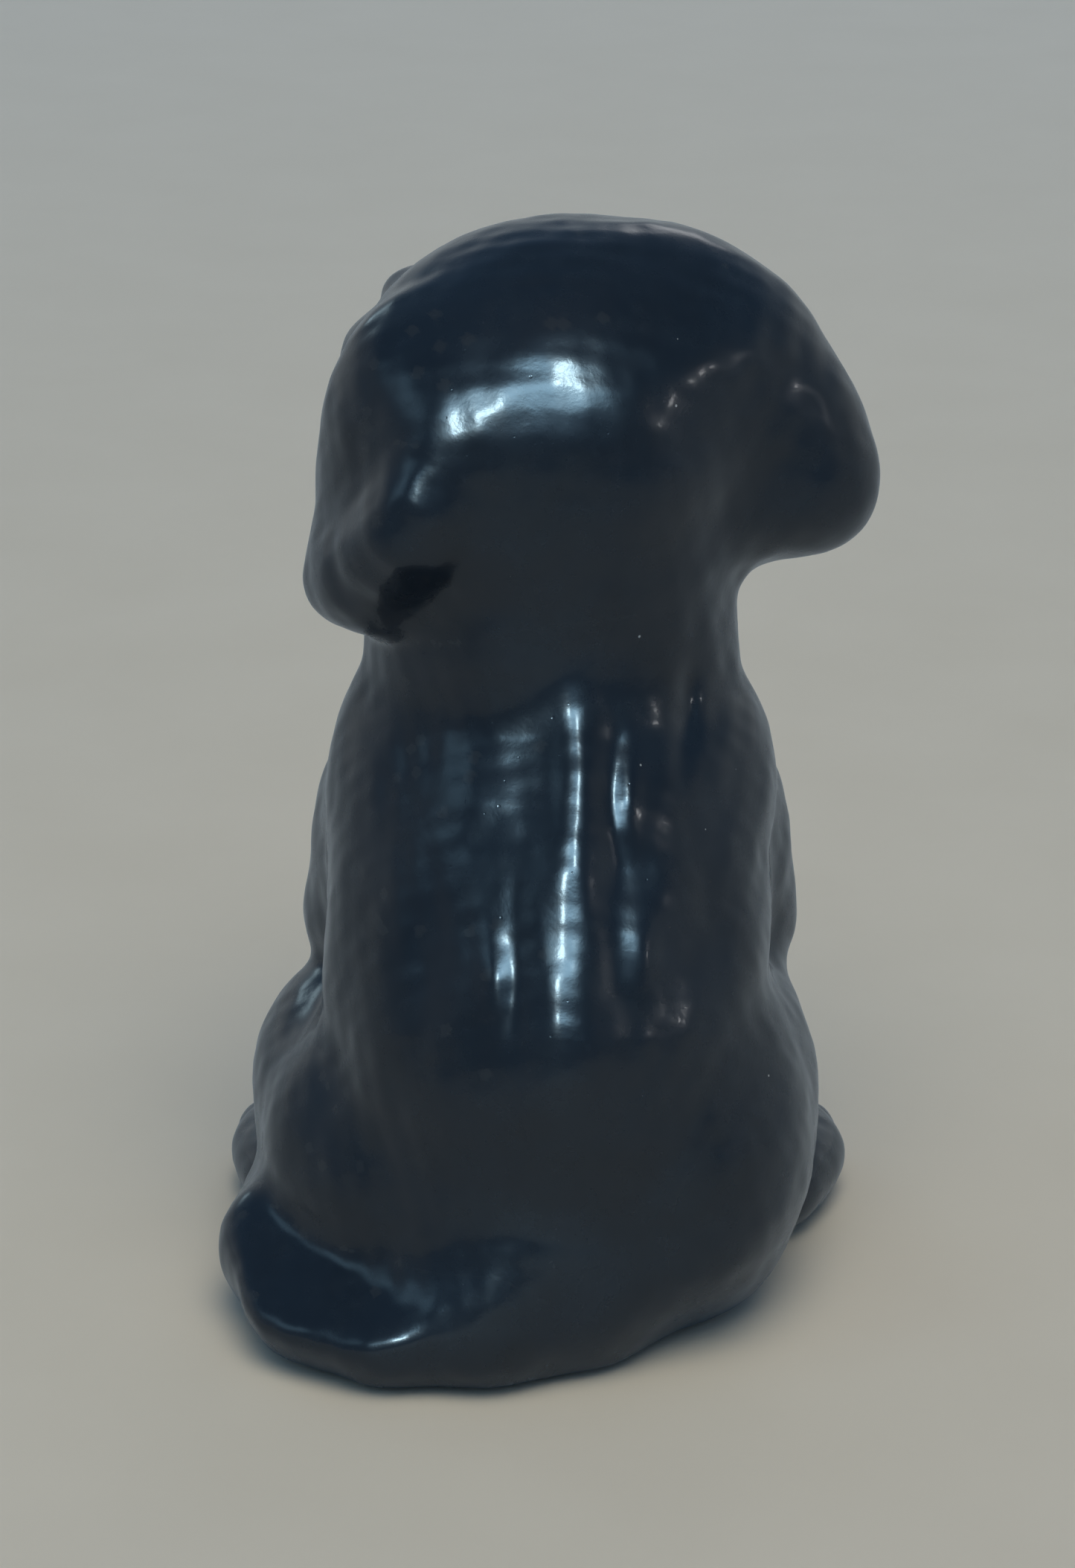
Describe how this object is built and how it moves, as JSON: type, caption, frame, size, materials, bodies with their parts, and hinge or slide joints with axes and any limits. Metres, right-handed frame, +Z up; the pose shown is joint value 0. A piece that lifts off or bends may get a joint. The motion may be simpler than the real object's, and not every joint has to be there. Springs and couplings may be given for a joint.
{
  "type": "seated dog figurine",
  "caption": "Seated puppy figurine with a turned head, drooping ears and a tail curled round its base; hollow ceramic with a vent in its flat ground face.",
  "frame": {"origin": "on the flat ground face, under the middle of the body", "axes": "+Z up, the puppy's body faces -Y, +X is the puppy's left"},
  "size_m": [0.0452, 0.0444, 0.0748],
  "materials": {
    "glaze": "blue-black gloss glaze"
  },
  "bodies": {
    "root": {"body": "glaze", "head": "glaze", "ear_left": "glaze", "ear_right": "glaze", "haunch_left": "glaze", "haunch_right": "glaze", "hind_foot_left": "glaze", "hind_foot_right": "glaze", "foreleg_left": "glaze", "foreleg_right": "glaze", "tail": "glaze"}
  },
  "joints": []
}
